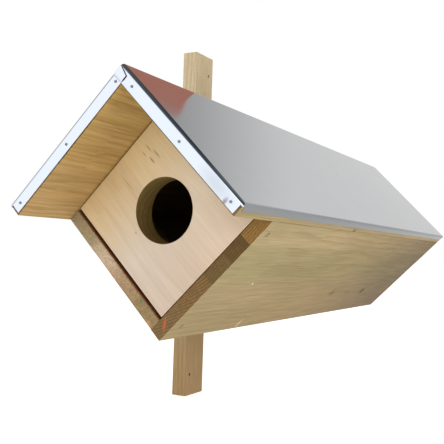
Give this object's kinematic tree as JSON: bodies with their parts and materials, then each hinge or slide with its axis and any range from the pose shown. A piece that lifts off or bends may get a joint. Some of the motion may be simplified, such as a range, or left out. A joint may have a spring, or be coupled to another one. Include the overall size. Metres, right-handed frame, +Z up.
{
  "type": "birdhouse",
  "caption": "Long square nest box set on one corner, with a folded metal roof, a deep porch, a round entrance in a swing-out door, and an upright fixing batten.",
  "frame": {"origin": "centre of the batten's flat back, level with the axis of the box", "axes": "+X from the wall or post out to the box, +Y from the porch to the rear along the box, +Z up along the batten"},
  "size_m": [0.2829, 0.8222, 0.5],
  "materials": {
    "treated_pine": "sawn and planed pine, edge glued, greenish treatment",
    "smooth_pine": "planed pale softwood",
    "batten_pine": "planed softwood",
    "galvanised_sheet": "smooth satin galvanised steel",
    "bright_nail": "bright wire nail",
    "zinc_screw": "dulled zinc"
  },
  "bodies": {
    "box": {"roof_board_right": "treated_pine", "roof_board_left": "treated_pine", "side_board_right": "treated_pine", "side_board_left": "treated_pine", "back_panel": "treated_pine", "foothold_left": "treated_pine", "foothold_right": "treated_pine", "mounting_batten": "batten_pine", "roof_sheet": "galvanised_sheet", "ridge_nails": "bright_nail", "eave_nails_right": "bright_nail", "eave_nails_left": "bright_nail", "keel_nails": "bright_nail", "back_panel_nails": "bright_nail", "foothold_nails": "bright_nail", "roof_nails_front": "bright_nail", "roof_nails_rear": "bright_nail", "pivot_screw_left": "zinc_screw", "pivot_screw_right": "zinc_screw", "stop_screw": "zinc_screw", "batten_screws": "zinc_screw"},
    "door": {"front_door": "smooth_pine"}
  },
  "joints": [
    {"name": "door_swing", "type": "hinge", "parent": "box", "child": "door", "pos_m": [0.19375, -0.275, 0.04455], "axis": [-0.7071, 0, 0.7071], "range_deg": [0, 85]}
  ]
}
